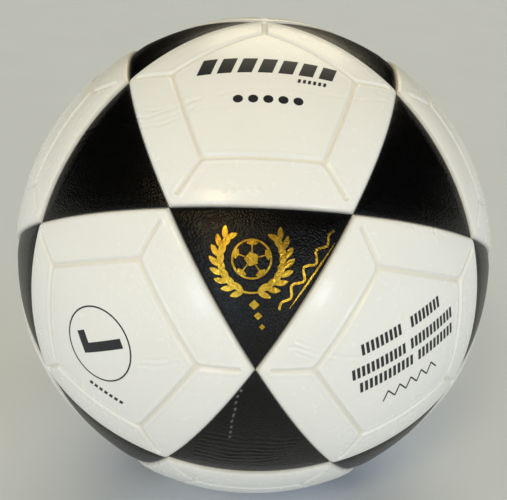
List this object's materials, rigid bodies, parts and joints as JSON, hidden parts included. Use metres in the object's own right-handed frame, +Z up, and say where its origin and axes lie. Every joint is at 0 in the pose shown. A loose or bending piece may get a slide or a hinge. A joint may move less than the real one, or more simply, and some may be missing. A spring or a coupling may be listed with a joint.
{
  "type": "soccer ball",
  "caption": "Inflated soccer ball with smooth white pentagon and grained black triangle cover panels over foam, a wound rubber carcass and a bladder with a pull-out valve plug.",
  "frame": {"origin": "centre of the ball", "axes": "+Z up, -Y the front panel, opposite the valve, +Y out along the valve's axis; one corner of the front panel points along +X"},
  "size_m": [0.22, 0.2199, 0.22],
  "materials": {
    "white_cover": "smooth coated synthetic leather, semi-gloss",
    "black_cover": "pebble-grained coated synthetic leather, satin",
    "foam_backing": "closed-cell foam",
    "carcass_rubber": "moulded natural rubber, matt",
    "winding_thread": "wound nylon thread",
    "bladder_rubber": "butyl rubber, matt",
    "valve_rubber": "moulded butyl rubber, satin"
  },
  "bodies": {
    "ball": {"white_panel_01": "white_cover", "white_panel_02": "white_cover", "white_panel_03": "white_cover", "white_panel_04": "white_cover", "white_panel_05": "white_cover", "white_panel_06": "white_cover", "white_panel_07": "white_cover", "white_panel_08": "white_cover", "white_panel_09": "white_cover", "white_panel_10": "white_cover", "white_panel_11": "white_cover", "white_valve_panel": "white_cover", "black_panel_01": "black_cover", "black_panel_02": "black_cover", "black_panel_03": "black_cover", "black_panel_04": "black_cover", "black_panel_05": "black_cover", "black_panel_06": "black_cover", "black_panel_07": "black_cover", "black_panel_08": "black_cover", "black_panel_09": "black_cover", "black_panel_10": "black_cover", "black_panel_11": "black_cover", "black_panel_12": "black_cover", "black_panel_13": "black_cover", "black_panel_14": "black_cover", "black_panel_15": "black_cover", "black_panel_16": "black_cover", "black_panel_17": "black_cover", "black_panel_18": "black_cover", "black_panel_19": "black_cover", "black_panel_20": "black_cover", "white_panel_foam": "foam_backing", "black_panel_foam": "foam_backing", "rubber_carcass": "carcass_rubber", "thread_winding": "winding_thread", "bladder": "bladder_rubber", "balance_patch": "bladder_rubber", "valve_housing": "valve_rubber"},
    "valve_plug": {"valve_plug": "valve_rubber"}
  },
  "joints": [
    {"name": "valve_plug_pull", "type": "slide", "parent": "ball", "child": "valve_plug", "axis": [0, 1, 0], "range_m": [0, 0.03]}
  ]
}
